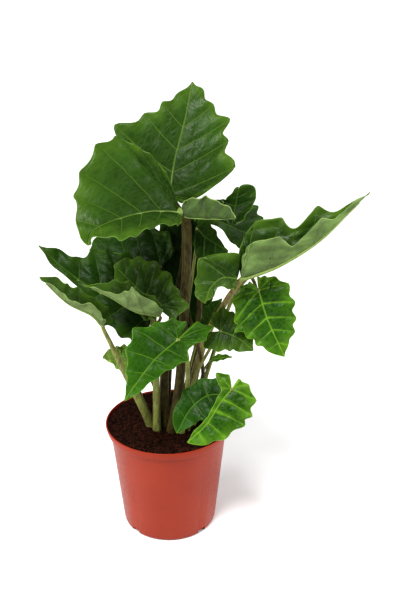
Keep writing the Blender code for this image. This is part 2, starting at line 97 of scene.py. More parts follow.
# Each leaf runs from its stalk to its tip. face is the way its upper side looks. Each half has a
# fan of side veins at the stalk and more up the rib, given by their lengths. angles are those of
# the first vein, the last of the fan and the last of the rib, from the midrib. fold lifts the
# half blade and curl rolls its margin up, each from the stalk's end to the tip's.
LEAVES = {
    "leaf_top": dict(
        midrib=((6, 22, 464), (12, 40, 502), (24, 62, 545), (34, 86, 590)),
        face=(0, -0.9, 0.45),
        left=dict(angles=(137, 62, 50), fan=(23, 70, 98), rib=(93, 61, 41, 20), fold=(0, 8)),
        right=dict(angles=(118, 58, 32), fan=(18, 34, 90), rib=(81, 77, 48, 28), fold=(8, 5),
                   curl=(-25, 0)),
    ),
    "leaf_left_broad": dict(
        midrib=((20, -17, 454), (-15, -42, 462), (-50, -68, 461), (-76, -87, 454), (-82, -94, 440)),
        face=(0, -0.1, 1),
        left=dict(angles=(75, 40, 60), fan=(15, 26, 38), rib=(50, 55, 50, 24), fold=(-35, 0)),
        right=dict(angles=(75, 58, 48), fan=(43, 76, 97, 118), rib=(110, 86, 60, 28), fold=(58, 28)),
    ),
    "leaf_left_lobe": dict(
        midrib=((25, -22, 452), (38, -23, 450), (60, -16, 447), (86, -6, 442)),
        face=(0.1, 0.7, -0.3),
        left=dict(angles=(80, 50, 40), fan=(3, 4), rib=(4, 4), fold=(0, 0)),
        right=dict(angles=(120, 75, 50), fan=(10, 18, 24), rib=(30, 24, 18), fold=(10, 10)),
    ),
    "leaf_curl": dict(
        midrib=((84, 14, 430), (88, 26, 448), (92, 30, 470)),
        face=(-0.1, -1, 0.15),
        left=dict(angles=(105, 70, 80), fan=(10, 18), rib=(26, 25, 14), fold=(15, 15), curl=(85, 65)),
        right=dict(angles=(105, 70, 50), fan=(10, 20), rib=(26, 28, 26), fold=(15, 0), curl=(85, -30)),
    ),
    "leaf_back_right": dict(
        midrib=((38, 24, 438), (70, 36, 424), (96, 50, 408), (120, 62, 394)),
        face=(-0.2, -0.8, 0.55),
        left=dict(angles=(86, 32, 28), fan=(8, 24, 66), rib=(70, 58, 32), fold=(0, 5)),
        right=dict(angles=(95, 50, 70), fan=(8, 14), rib=(8, 22, 24), fold=(0, 0)),
    ),
    "leaf_back_small": dict(
        midrib=((40, 14, 424), (52, 12, 411), (78, 8, 396)),
        face=(0, -0.9, 0.4),
        left=dict(angles=(125, 90, 50), fan=(13, 18), rib=(16, 8), fold=(0, 0)),
        right=dict(angles=(60, 45, 60), fan=(20, 34), rib=(36, 22), fold=(0, 0)),
    ),
    "leaf_back_centre": dict(
        midrib=((20, 66, 427), (20, 61, 380), (26, 52, 320), (38, 36, 252)),
        face=(0, -0.9, 0.4),
        left=dict(angles=(95, 45, 50), fan=(20, 40, 55), rib=(52, 46, 30), fold=(0, 0)),
        right=dict(angles=(100, 40, 55), fan=(20, 30, 55), rib=(58, 52, 30), fold=(0, 0)),
    ),
    "leaf_back_left": dict(
        midrib=((-8, 28, 366), (-36, 45, 370), (-65, 67, 370), (-106, 90, 367)),
        face=(-0.1, -0.85, 0.55),
        left=dict(angles=(155, 110, 80), fan=(20, 50, 56), rib=(56, 48, 28), fold=(0, 0)),
        right=dict(angles=(110, 50, 35), fan=(28, 48, 64), rib=(64, 54, 32), fold=(0, 0)),
    ),
    "leaf_left_long": dict(
        midrib=((-19, -22, 322), (-58, -15, 335), (-98, -5, 353), (-132, 6, 375), (-160, 18, 398)),
        face=(0.1, -0.6, 0.8),
        left=dict(angles=(105, 60, 40), fan=(24, 42, 48), rib=(38, 20, 10, 10), fold=(-20, -30)),
        right=dict(angles=(85, 50, 50), fan=(30, 62, 86), rib=(82, 62, 31, 20), fold=(15, 12)),
    ),
    "leaf_folded": dict(
        midrib=((-6, -42, 328), (-36, -53, 340), (-66, -63, 364), (-93, -72, 382)),
        face=(0.1, -0.3, 0.9),
        left=dict(angles=(90, 55, 35), fan=(10, 24), rib=(50, 30, 10, 6), fold=(70, 72), curl=(30, 25)),
        right=dict(angles=(85, 65, 55), fan=(14, 26), rib=(34, 34, 24, 10), fold=(38, 28),
                   curl=(25, 25)),
    ),
    "leaf_inner": dict(
        midrib=((-13, -26, 336), (-33, -10, 349), (-64, 2, 377)),
        face=(0, -0.8, 0.6),
        left=dict(angles=(140, 65, 55), fan=(19, 23, 27), rib=(32, 26, 14), fold=(-3, 0)),
        right=dict(angles=(175, 70, 45), fan=(33, 44, 36, 46), rib=(48, 40, 24), fold=(-3, 8)),
    ),
    "leaf_front": dict(
        midrib=((16, -58, 303), (-11, -84, 289), (-34, -108, 267), (-45, -122, 255)),
        face=(0.1, -0.8, 0.6),
        left=dict(angles=(183, 115, 100), fan=(36, 50, 36, 20), rib=(31, 26, 18, 11), fold=(12, -5)),
        right=dict(angles=(160, 75, 50), fan=(26, 28, 36), rib=(49, 38, 22, 10), fold=(18, 5)),
    ),
    "leaf_right_long": dict(
        midrib=((94, -42, 377), (140, -36, 393), (188, -22, 419), (225, -6, 450), (251, 6, 472)),
        face=(-0.5, 0.1, 0.8),
        left=dict(angles=(75, 55, 40), fan=(30, 56, 76), rib=(70, 40, 50, 20, 10), fold=(45, 53),
                  curl=(35, 30)),
        right=dict(angles=(70, 56, 30), fan=(28, 40, 49), rib=(46, 18, 34, 12, 10), fold=(61, 66),
                   curl=(35, 30)),
    ),
    "leaf_right_lobe": dict(
        midrib=((89, -46, 379), (71, -48, 381), (57, -51, 370), (50, -55, 352)),
        face=(-0.1, -0.8, 0.6),
        left=dict(angles=(80, 50, 35), fan=(14, 18), rib=(21, 19, 10), fold=(0, 0)),
        right=dict(angles=(98, 30, 50), fan=(30, 48), rib=(40, 27, 18), fold=(0, 0)),
    ),
    "leaf_lower_dark": dict(
        midrib=((70, -27, 300), (90, -33, 294), (110, -39, 280)),
        face=(0, -0.8, 0.6),
        left=dict(angles=(165, 80, 60), fan=(17, 26, 32, 30), rib=(24, 14), fold=(5, 0)),
        right=dict(angles=(150, 75, 75), fan=(22, 30, 27), rib=(21, 14), fold=(0, 0)),
    ),
    "leaf_inner_small": dict(
        midrib=((50, 15, 283), (60, 18, 304), (71, 20, 324)),
        face=(-0.2, -0.8, 0.5),
        left=dict(angles=(90, 60, 60), fan=(8, 12), rib=(17, 11), fold=(0, 0)),
        right=dict(angles=(90, 60, 60), fan=(8, 12), rib=(14, 9), fold=(0, 0)),
    ),
    "leaf_right_bright": dict(
        midrib=((117, -22, 354), (128, -31, 319), (150, -40, 272)),
        face=(0, -0.9, 0.4),
        left=dict(angles=(170, 85, 50), fan=(18, 20, 27, 39), rib=(42, 38, 30, 14), fold=(-4, 0)),
        right=dict(angles=(150, 55, 75), fan=(17, 24, 36, 50), rib=(50, 36, 28, 17), fold=(6, 0)),
    ),
    "leaf_rim_bright": dict(
        midrib=((83, -76, 244), (68, -86, 229), (52, -96, 206), (29, -102, 184)),
        face=(0.1, -0.75, 0.65),
        left=dict(angles=(185, 105, 80), fan=(16, 22, 34), rib=(42, 41, 30, 18), fold=(0, 0)),
        right=dict(angles=(130, 60, 60), fan=(18, 28, 14), rib=(8, 6, 6, 6), fold=(10, 3)),
    ),
    "leaf_rim_dark": dict(
        midrib=((72, -52, 223), (52, -60, 225), (31, -70, 211), (15, -80, 184)),
        face=(-0.1, -0.7, 0.7),
        left=dict(angles=(120, 80, 85), fan=(8, 20), rib=(27, 26, 15), fold=(0, 0)),
        right=dict(angles=(145, 80, 110), fan=(8, 16, 22), rib=(24, 24, 19), fold=(5, 3)),
    ),
    "leaf_pale": dict(
        midrib=((-52, -14, 253), (-66, -16, 255), (-81, -18, 257)),
        face=(0, 0.6, -0.8),
        left=dict(angles=(110, 80, 70), fan=(18, 23), rib=(19, 14), fold=(0, 0)),
        right=dict(angles=(110, 75, 80), fan=(14, 19), rib=(15, 6), fold=(0, 0)),
    ),
    "leaf_left_low": dict(
        midrib=((-76, -50, 318), (-88, -56, 336), (-115, -67, 357), (-142, -80, 394)),
        face=(0.1, -0.3, 0.9),
        left=dict(angles=(60, 30, 75), fan=(10, 18), rib=(20, 11, 8, 6), fold=(78, 72), curl=(15, 30)),
        right=dict(angles=(130, 75, 65), fan=(17, 25), rib=(22, 27, 21, 16), fold=(22, 26),
                   curl=(10, 30)),
    ),
    "leaf_sliver": dict(
        midrib=((57, 8, 240), (70, 8, 244), (85, 8, 246)),
        face=(0, -0.6, 0.8),
        left=dict(angles=(90, 70, 70), fan=(3, 5), rib=(7, 5), fold=(0, 0)),
        right=dict(angles=(90, 70, 70), fan=(2, 3), rib=(4, 3), fold=(0, 0)),
    ),
}

# Each stalk: base radius and top radius, then its route from the soil to the leaf.
STALKS = {
    "stalk_top": (
        6.8, 4.0, ((-3, -12, 150), (-4, 4, 225), (8, 26, 300), (22, 42, 370), (23, 38, 425), (7.5, 25, 459))
    ),
    "stalk_left_broad": (
        6.8, 5.6, ((6, -26, 150), (17, -18, 225), (24, 4, 330), (28, 8, 420), (23, -11.5, 448.5))
    ),
    "stalk_back_right": (
        7.0, 2.5, ((24, 11, 150), (37, 24, 230), (42, 30, 300), (46, 34, 400), (41, 29, 430))
    ),
    "stalk_back_small": (3.2, 1.8, ((10, 25, 150), (24, 32, 280), (38, 26, 390), (39, 17, 413))),
    "stalk_back_centre": (4.0, 2.5, ((-2, 20, 150), (4, 60, 260), (10, 80, 380), (20, 71, 426))),
    "stalk_back_left": (4.2, 2.4, ((-14, 10, 150), (-18, 22, 250), (-15, 32, 320), (-8.5, 30, 361))),
    "stalk_left_long": (6.2, 3.2, ((-14, -22, 150), (-14, -21, 220), (-14, -18, 280), (-18, -20, 315))),
    "stalk_folded": (
        3.0, 2.0,
        ((-15, -6, 150), (-15, -8, 195), (-20, -10, 220), (-33, -22, 246), (-22, -38, 300), (-6, -43, 323))
    ),
    "stalk_inner": (
        3.0, 2.0,
        ((48, 2, 150), (47, -14, 240), (38, -12, 280), (28, 18, 300), (8, 12, 312), (-11, -23, 332))
    ),
    "stalk_front": (3.6, 2.6, ((20, -32, 150), (27, -37, 220), (27, -45, 275), (19, -55, 298))),
    "stalk_right_long": (
        7.4, 3.2, ((23, -9, 150), (40, -3, 240), (55, 3, 286), (78, -7, 335), (92, -40.5, 373.5))
    ),
    "stalk_lower_dark": (
        2.6, 2.0, ((16, -18.5, 150), (37, -28, 234), (52, -29, 268), (68, -26, 295.5))
    ),
    "stalk_inner_small": (2.6, 1.6, ((14, 4, 150), (28, 14, 220), (41, 20, 270), (47, 18, 280))),
    "stalk_right_bright": (
        3.6, 2.2,
        ((34, 4, 150), (60, 21, 240), (84, 20, 320), (104, 0, 362), (111, -10, 362), (114, -17, 354))
    ),
    "stalk_rim_bright": (3.0, 2.2, ((36, -9, 150), (48, -17, 190), (84, -44, 222), (84, -73, 241.5))),
    "stalk_rim_dark": (2.8, 2.0, ((28, -26, 150), (38, -38, 190), (58, -48, 213), (66, -50, 219))),
    "stalk_pale": (2.8, 1.8, ((-24, 2, 150), (-40, -8, 210), (-50, -13, 248))),
    "stalk_left_low": (
        7.2, 2.4, ((-24, -12, 150), (-42, -30, 215), (-56, -42, 258), (-67, -46, 290), (-75, -49, 312))
    ),
    "stalk_sliver": (2.4, 1.4, ((38, 14, 150), (46, 22, 210), (55.5, 9, 237.5))),
}

# Colours are linear: upper side, upper side near the margin, veins, underside. quilt and crumple
# are the heights of the relief, glow is how far the margin's colour reaches in and paint is the
# width of the light bands along the veins, both in millimetres.
# The next tones are painted shade: a darker copy of the leaf greens for the blades that sit in shade inside
# and behind the plant.
DEEP_SHADE = ((0.008, 0.027, 0.002), (0.030, 0.070, 0.004), (0.045, 0.090, 0.012), (0.100, 0.155, 0.040))
MID = ((0.016, 0.045, 0.004), (0.070, 0.140, 0.010), (0.080, 0.145, 0.018), (0.120, 0.185, 0.055))
GLOSSY = ((0.012, 0.055, 0.002), (0.040, 0.120, 0.004), (0.090, 0.190, 0.012), (0.150, 0.240, 0.050))
DARK_GLOSSY = ((0.007, 0.038, 0.001), (0.020, 0.080, 0.002), (0.060, 0.140, 0.010), (0.150, 0.240, 0.050))
BRIGHT = ((0.010, 0.056, 0.001), (0.085, 0.195, 0.008), (0.140, 0.270, 0.020), (0.220, 0.330, 0.060))
# LIT and SHADED are MID with a lighter and a darker underside: painted light and painted shade on the
# undersides.
LIT = (*MID[:3], (0.165, 0.235, 0.080))
SHADED = (*MID[:3], (0.050, 0.088, 0.018))
PALE = ((0.090, 0.190, 0.012), (0.140, 0.260, 0.020), (0.200, 0.320, 0.050), (0.180, 0.290, 0.045))
LOOKS = {
    "leaf_top": dict(tones=MID, quilt=0.04, crumple=0.6),
    "leaf_left_broad": dict(tones=MID, quilt=0.09, crumple=0.8, glow=34, bays=0.06),
    "leaf_left_lobe": dict(tones=SHADED, quilt=0.04, crumple=0.4, bays=0.06, rim=2.0),
    "leaf_curl": dict(tones=DEEP_SHADE, gloss=0.08, quilt=0.03, crumple=0.3, bays=0.04, rim=3.0),
    "leaf_back_right": dict(tones=DEEP_SHADE, gloss=0.08, quilt=0.06, crumple=0.8),
    "leaf_back_small": dict(tones=DEEP_SHADE, gloss=0.08, quilt=0.06, crumple=0.8),
    "leaf_back_centre": dict(tones=DEEP_SHADE, gloss=0.08, quilt=0.08, crumple=1.5),
    "leaf_back_left": dict(tones=DEEP_SHADE, gloss=0.08, quilt=0.08, crumple=1.5),
    "leaf_left_long": dict(tones=DEEP_SHADE, gloss=0.08, quilt=0.12, crumple=1.2),
    "leaf_folded": dict(tones=LIT, quilt=0.03, crumple=0.5),
    "leaf_inner": dict(tones=MID, gloss=0.14, quilt=0.14, crumple=1.5),
    "leaf_front": dict(tones=GLOSSY, quilt=0.10, crumple=0.9),
    "leaf_right_long": dict(tones=MID, quilt=0.05, crumple=1.8, bays=0.03),
    "leaf_right_lobe": dict(tones=MID, quilt=0.08, crumple=0.8),
    "leaf_lower_dark": dict(tones=MID, gloss=0.10, quilt=0.08, crumple=0.6),
    "leaf_inner_small": dict(tones=DEEP_SHADE, gloss=0.08, quilt=0.08, crumple=0.6),
    "leaf_right_bright": dict(tones=BRIGHT, quilt=0.16, crumple=1.5, paint=3.2),
    "leaf_rim_bright": dict(tones=BRIGHT, quilt=0.12, crumple=1.0, paint=4.5),
    "leaf_rim_dark": dict(tones=DARK_GLOSSY, quilt=0.10, crumple=0.5),
    "leaf_pale": dict(tones=PALE, quilt=0.06, crumple=0.4),
    "leaf_left_low": dict(tones=LIT, quilt=0.03, crumple=0.5),
    "leaf_sliver": dict(tones=BRIGHT, quilt=0.0, crumple=0.2),
}

GREEN_STALK = ((0.200, 0.230, 0.060), (0.120, 0.110, 0.035))
TAN_STALK = ((0.240, 0.220, 0.075), (0.160, 0.110, 0.045))
BROWN_STALK = ((0.075, 0.062, 0.014), (0.030, 0.022, 0.005))
RIB_TONES = ((0.190, 0.260, 0.075), (0.140, 0.200, 0.050))
UNDER_RIM = (0.260, 0.340, 0.110)
POT_TONES = ((0.245, 0.024, 0.006), (0.270, 0.028, 0.007))
POT_SPECK = (0.020, 0.008, 0.004)
SOIL_TONES = ((0.006, 0.0025, 0.0015), (0.030, 0.010, 0.006))
SOIL_GRAIN = (0.160, 0.045, 0.022)
STALK_TONES = {
    "stalk_right_long": TAN_STALK,
    "stalk_left_broad": BROWN_STALK,
    "stalk_top": BROWN_STALK,
    "stalk_back_centre": BROWN_STALK,
    "stalk_back_right": BROWN_STALK,
    "stalk_inner": BROWN_STALK,
    "stalk_folded": BROWN_STALK,
}


# ---------------------------------------------------------------- curves

def smooth(values, t):
    """The smooth curve through rows of values, which sit at whole numbers of t."""
    values = np.asarray(values, float)
    padded = np.vstack([2 * values[0] - values[1], values, 2 * values[-1] - values[-2]])
    t = np.asarray(t, float)
    i = np.clip(t.astype(int), 0, len(values) - 2)
    f = (t - i)[:, None]
    a, b, c, d = padded[i], padded[i + 1], padded[i + 2], padded[i + 3]
    return 0.5 * (
        2 * b
        + (c - a) * f
        + (2 * a - 5 * b + 4 * c - d) * f ** 2
        + (3 * b - a - 3 * c + d) * f ** 3
    )


def along(points, u):
    """Points a share u of the way along a smooth route."""
    points = np.asarray(points, float)
    steps = np.linalg.norm(np.diff(points, axis=0), axis=1)
    knots = np.concatenate([[0], np.cumsum(steps)]) / steps.sum()
    return smooth(points, np.interp(u, knots, np.arange(len(points))))


def unit(vectors):
    return vectors / np.linalg.norm(vectors, axis=-1, keepdims=True)


# ---------------------------------------------------------------- blades

def evenly(start, end, count):
    """count values from start to end, without start itself."""
    return [start + (end - start) * (k + 1) / count for k in range(count)]


def vein_table(half):
    """A half blade's side veins: place along the midrib, angle from it, length, fold and curl."""
    first, middle, last = half["angles"]
    fan, rib = len(half["fan"]), len(half["rib"])
    places = [0.0] * fan + [k / (rib + 1) for k in range(1, rib + 1)] + [1.0]
    angles = [first, *evenly(first, middle, fan - 1), *evenly(middle, last, rib), TIP_ANGLE]
    lengths = [*half["fan"], *half["rib"], TIP_LENGTH]
    bends = [[*np.linspace(*half.get(key, (0, 0)), fan + rib), 0] for key in ("fold", "curl")]
    return np.array([places, angles, lengths, *bends]).T


def shared_places(left, right):
    """Places along the midrib where both halves have a row, beyond the fan at its start."""
    marks = sorted({round(place, 3) for place in (*left[:, 0], *right[:, 0]) if place > 0})
    places = []
    last = 0.0
    for mark in marks:
        count = max(1, math.ceil((mark - last) / PLACE_STEP))
        places.extend(last + (mark - last) * (k + 1) / count for k in range(count))
        last = mark
    return np.array(places)


def row_positions(veins, places):
    fan = np.count_nonzero(veins[:, 0] == 0) - 1
    fan_t = np.arange(fan * ROWS_PER_VEIN + 1) / ROWS_PER_VEIN
    t = np.interp(places, veins[fan:, 0], np.arange(fan, len(veins)))
    return np.concatenate([fan_t * 0, places]), np.concatenate([fan_t, t])


def half_blade(leaf, look, veins, side, places):
    """Grid of points, their places on the flat blade, and their distances to a side vein, the
    midrib and the margin."""
    place, t = row_positions(veins, places)
    start = along(leaf["midrib"], place)
    ahead = unit(along(leaf["midrib"], np.minimum(place + 0.01, 1))
                 - along(leaf["midrib"], np.maximum(place - 0.01, 0)))
    face = np.array(leaf["face"], float)
    up = unit(face - (ahead @ face)[:, None] * ahead)
    out = side * np.cross(up, ahead)
    angle, length, fold, curl = smooth(veins[:, 1:], t).T
    bay = np.sin(np.pi * (t % 1))
    length = np.maximum(length, 0.5) * (1 - look.get("bays", BAY_DEPTH) * bay ** BAY_SHARPNESS)
    angle, fold, curl = np.radians(angle), np.radians(fold), np.radians(curl)
    flat = np.cos(fold)[:, None] * out + np.sin(fold)[:, None] * up
    raised = np.cos(fold)[:, None] * up - np.sin(fold)[:, None] * out

    points = [start]
    normals = [raised]
    flats = [np.stack([0 * place, place * 100], axis=1)]
    for k in range(COLUMNS):
        s = (k + 0.5) / COLUMNS
        turn = angle - VEIN_BEND * (s - 0.5)
        lift = curl * s ** 1.3
        step = np.cos(turn)[:, None] * ahead + np.sin(turn)[:, None] * flat
        normals.append(np.cos(lift)[:, None] * raised - np.sin(lift)[:, None] * step)
        step = np.cos(lift)[:, None] * step + np.sin(lift)[:, None] * raised
        points.append(points[-1] + step * (length / COLUMNS)[:, None])
        plan = np.stack([side * np.sin(turn), np.cos(turn)], axis=1)
        flats.append(flats[-1] + plan * (length / COLUMNS)[:, None])
    grid, normals, flats = (np.stack(x, axis=1) for x in (points, normals, flats))

    s = np.linspace(0, 1, COLUMNS + 1)
    gap = vein_gaps(grid, t)
    to_vein = gap * np.minimum(t % 1, 1 - t % 1)[:, None]
    to_margin = (1 - s)[None, :] * length[:, None]
    to_midrib = np.abs(flats[..., 0])
    clear = 1 - np.exp(-to_midrib / 5)
    bulge = look["quilt"] * gap * (bay ** 0.8)[:, None] * (1 - 0.45 * s ** 3)[None, :] * clear
    rough = crumple(flats, side) * look["crumple"] * clear * (1.5 - place)[:, None]
    ruffle = RUFFLE * np.sin(2 * np.pi * t)[:, None] * (s ** 3)[None, :]
    grid = grid + normals * (bulge + rough + ruffle)[..., None]
    return grid, flats, to_vein, to_midrib, to_margin


def vein_gaps(grid, t):
    """Distance between the two veins on either side of each point."""
    low = np.floor(np.minimum(t, t[-1] - 1e-6))
    rows = np.arange(len(t))
    before = np.interp(low, t, rows).round().astype(int)
    after = np.interp(low + 1, t, rows).round().astype(int)
    return np.linalg.norm(grid[after] - grid[before], axis=-1)


def crumple(flats, side):
    heights = np.zeros(flats.shape[:2])
    for index in np.ndindex(heights.shape):
        x, y = flats[index]
        spot = Vector((x / 16, y / 16, side * 3.0))
        crease = 1 - 2.4 * abs(noise.noise(spot * 0.9 + Vector((7, 3, 1))))
        heights[index] = 1.3 * noise.noise(spot) + 0.6 * noise.noise(spot * 2.3) - 1.3 * crease ** 3
    return heights


def grid_faces(rows, columns, flip):
    corner = (np.arange(rows - 1)[:, None] * columns + np.arange(columns - 1)[None, :]).ravel()
    faces = np.stack([corner, corner + 1, corner + columns + 1, corner + columns], axis=1)
    return faces[:, ::-1] if flip else faces


def make_leaf(name, leaf):
    look = LOOKS[name]
    left, right = vein_table(leaf["left"]), vein_table(leaf["right"])
    places = shared_places(left, right)
    points, faces, facts = [], [], []
    for side, veins in ((1, left), (-1, right)):
        grid, flats, *distances = half_blade(leaf, look, veins, side, places)
        faces.append(grid_faces(grid.shape[0], grid.shape[1], side > 0) + sum(map(len, points)))
        points.append(grid.reshape(-1, 3) * MM)
        facts.append(np.column_stack([flats.reshape(-1, 2), *(d.ravel() for d in distances)]))
    points, faces, facts = map(np.concatenate, (points, faces, facts))
    points, faces, facts = merge(points, faces, facts)
    mesh = bpy.data.meshes.new(name)
    mesh.from_pydata(points.tolist(), [], faces)
    for label, column in zip(("flat_x", "flat_y", "to_vein", "to_midrib", "to_margin"), facts.T):
        layer = mesh.attributes.new(label, "FLOAT", "POINT")
        layer.data.foreach_set("value", column.astype(np.float32))
    mesh.polygons.foreach_set("use_smooth", [True] * len(mesh.polygons))
    blade = bpy.data.objects.new(f"{name}_blade", mesh)
    bpy.context.collection.objects.link(blade)
    skin = blade.modifiers.new("thickness", "SOLIDIFY")
    skin.thickness = BLADE_THICKNESS
    skin.offset = 0
    skin.material_offset = 1
    skin.material_offset_rim = 2
    for material in leaf_materials(name, look):
        mesh.materials.append(material)
    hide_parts(name)
    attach(blade, "root")


def merge(points, faces, facts):
    """Joins coincident points, and drops the faces that this closes up."""
    keys = np.round(points / (0.01 * MM)).astype(int)
    _, first, index = np.unique(keys, axis=0, return_index=True, return_inverse=True)
    index = index.reshape(-1)
    kept = []
    for face in index[faces]:
        corners = list(dict.fromkeys(face.tolist()))
        if len(corners) > 2:
            kept.append(corners)
    return points[first], kept, facts[first]


# ---------------------------------------------------------------- materials

class Graph:
    """Short calls for building a shader."""

    def __init__(self, name):
        self.material = bpy.data.materials.new(name)
        self.material.use_nodes = True
        self.nodes = self.material.node_tree.nodes
        self.links = self.material.node_tree.links
        self.shader = self.nodes["Principled BSDF"]

    def plug(self, socket, value):
        if isinstance(value, bpy.types.NodeSocket):
            self.links.new(value, socket)
        elif isinstance(value, tuple) and len(value) == 3 and socket.type == "RGBA":
            socket.default_value = (*value, 1)
        else:
            socket.default_value = value

    def node(self, kind, inputs=(), **settings):
        node = self.nodes.new(kind)
        for key, value in settings.items():
            setattr(node, key, value)
        for key, value in dict(inputs).items():
            self.plug(node.inputs[key], value)
        return node

    def math(self, operation, a, b):
        return self.node("ShaderNodeMath", {0: a, 1: b}, operation=operation).outputs[0]

    def ramp(self, value, low, high, start=0.0, end=1.0):
        """value taken from low..high to start..end, smoothly, and held beyond."""
        node = self.node("ShaderNodeMapRange", {"Value": value, "From Min": low, "From Max": high,
                                                "To Min": start, "To Max": end},
                         interpolation_type="SMOOTHSTEP")
        return node.outputs["Result"]

    def mix(self, share, a, b):
        node = self.node("ShaderNodeMix", data_type="RGBA")
        for socket, value in ((node.inputs[0], share), (node.inputs[6], a), (node.inputs[7], b)):
            self.plug(socket, value)
        return node.outputs[2]

    def fact(self, name):
        return self.node("ShaderNodeAttribute", attribute_name=name).outputs["Fac"]

    def noise(self, scale, detail=3.0, vector=None):
        inputs = {"Scale": scale, "Detail": detail}
        if vector:
            inputs["Vector"] = vector
        return self.node("ShaderNodeTexNoise", inputs).outputs["Fac"]

    def bump(self, height, distance, strength=1.0):
        inputs = {"Height": height, "Distance": distance, "Strength": strength}
        return self.node("ShaderNodeBump", inputs).outputs["Normal"]

    def finish(self, **inputs):
        for key, value in inputs.items():
            self.plug(self.shader.inputs[key.replace("_", " ")], value)
        return self.material


def leaf_net(graph):
    """Fine veins between the side veins, as (closeness to a fine vein, flat place)."""
    place = graph.node("ShaderNodeCombineXYZ", {"X": graph.fact("flat_x"), "Y": graph.fact("flat_y")})
    place = place.outputs[0]
    drift = graph.node("ShaderNodeTexNoise", {"Vector": place, "Scale": 0.12}).outputs["Color"]
    spot = graph.node("ShaderNodeVectorMath", {0: drift, 1: (5, 5, 5)}, operation="MULTIPLY_ADD")
    graph.plug(spot.inputs[2], place)
    cells = graph.node("ShaderNodeTexVoronoi", {"Vector": spot.outputs[0], "Scale": 0.16},
                       feature="DISTANCE_TO_EDGE").outputs["Distance"]
    return graph.ramp(cells, 0.0, 0.35, 1.0, 0.0), place


def leaf_materials(name, look):
    base, margin, _, under = look["tones"]
    return (
        upper_material(f"{name}_upper", look),
        under_material(f"{name}_under", under, base, look.get("rim", 1.0)),
        Graph(f"{name}_edge").finish(Base_Color=tuple(1.25 * c for c in margin), Roughness=0.5),
    )


def vein_lines(graph):
    """Closeness to a side vein or the midrib, thinner towards the margin."""
    side = graph.ramp(graph.fact("to_vein"), 0.25, 1.1, 1.0, 0.0)
    inner = graph.ramp(graph.fact("to_margin"), 2.0, 26.0, 0.25, 1.0)
    side = graph.math("MULTIPLY", side, inner)
    middle = graph.ramp(graph.fact("to_midrib"), 0.5, 1.6, 1.0, 0.0)
    return graph.math("MAXIMUM", side, middle)


def upper_material(name, look):
    base, margin, vein, _ = look["tones"]
    graph = Graph(name)
    net, place = leaf_net(graph)
    lines = vein_lines(graph)
    blotch = graph.noise(0.035, 4.0, place)
    edge = graph.ramp(graph.fact("to_margin"), 0.0, look.get("glow", 20.0), 1.0, 0.0)
    edge = graph.math("MULTIPLY", edge, graph.ramp(blotch, 0.35, 0.65, 0.35, 1.0))
    tone = graph.mix(graph.ramp(blotch, 0.3, 0.7), base, tuple(1.5 * c for c in base))
    # Painted shade: the upper side darkens towards the blade's stalk end.
    reach = graph.node("ShaderNodeVectorMath", {0: place}, operation="LENGTH").outputs["Value"]
    shade = graph.ramp(reach, 15.0, 95.0, 0.55, 0.0)
    tone = graph.mix(shade, tone, tuple(0.35 * c for c in base))
    tone = graph.mix(graph.math("MULTIPLY", edge, 0.7), tone, margin)
    if "paint" in look:
        band = graph.ramp(graph.fact("to_vein"), 0.0, look["paint"], 1.0, 0.0)
        band = graph.math("MULTIPLY", band, graph.ramp(blotch, 0.40, 0.58, 0.15, 1.0))
        tone = graph.mix(band, tone, margin)
    tone = graph.mix(graph.math("MULTIPLY", net, 0.11), tone, vein)
    tone = graph.mix(graph.math("MULTIPLY", lines, 0.75), tone, vein)
    rim = graph.ramp(graph.fact("to_margin"), 0.3, look.get("rim", 1.0), 0.8, 0.0)
    tone = graph.mix(rim, tone, tuple(1.2 * c for c in vein))
    dips = graph.math("ADD", graph.math("MULTIPLY", net, 0.35), lines)
    grain = graph.noise(0.9, 2.0, place)
    height = graph.math("SUBTRACT", graph.math("MULTIPLY", grain, 0.12), dips)
    return graph.finish(Base_Color=tone, Roughness=graph.ramp(blotch, 0.3, 0.7, 0.32, 0.42),
                        Normal=graph.bump(height, 0.5 * MM), Specular_IOR_Level=look.get("gloss", 0.13))


def under_material(name, under, base, rim_width):
    graph = Graph(name)
    net, place = leaf_net(graph)
    lines = vein_lines(graph)
    blotch = graph.ramp(graph.noise(0.05, 3.0, place), 0.35, 0.65)
    tone = graph.mix(blotch, tuple(0.62 * c for c in under), tuple(1.2 * c for c in under))
    tone = graph.mix(graph.math("MULTIPLY", net, 0.14), tone, base)
    rim = graph.ramp(graph.fact("to_margin"), 0.3, rim_width, 0.8, 0.0)
    tone = graph.mix(rim, tone, UNDER_RIM)
    tone = graph.mix(graph.math("MULTIPLY", lines, 0.45), tone, tuple(0.6 * c for c in under))
    height = graph.math("ADD", graph.math("MULTIPLY", net, 0.3), lines)
    return graph.finish(Base_Color=tone, Roughness=0.5, Normal=graph.bump(height, 0.6 * MM),
                        Specular_IOR_Level=0.18)


# ---------------------------------------------------------------- stalks

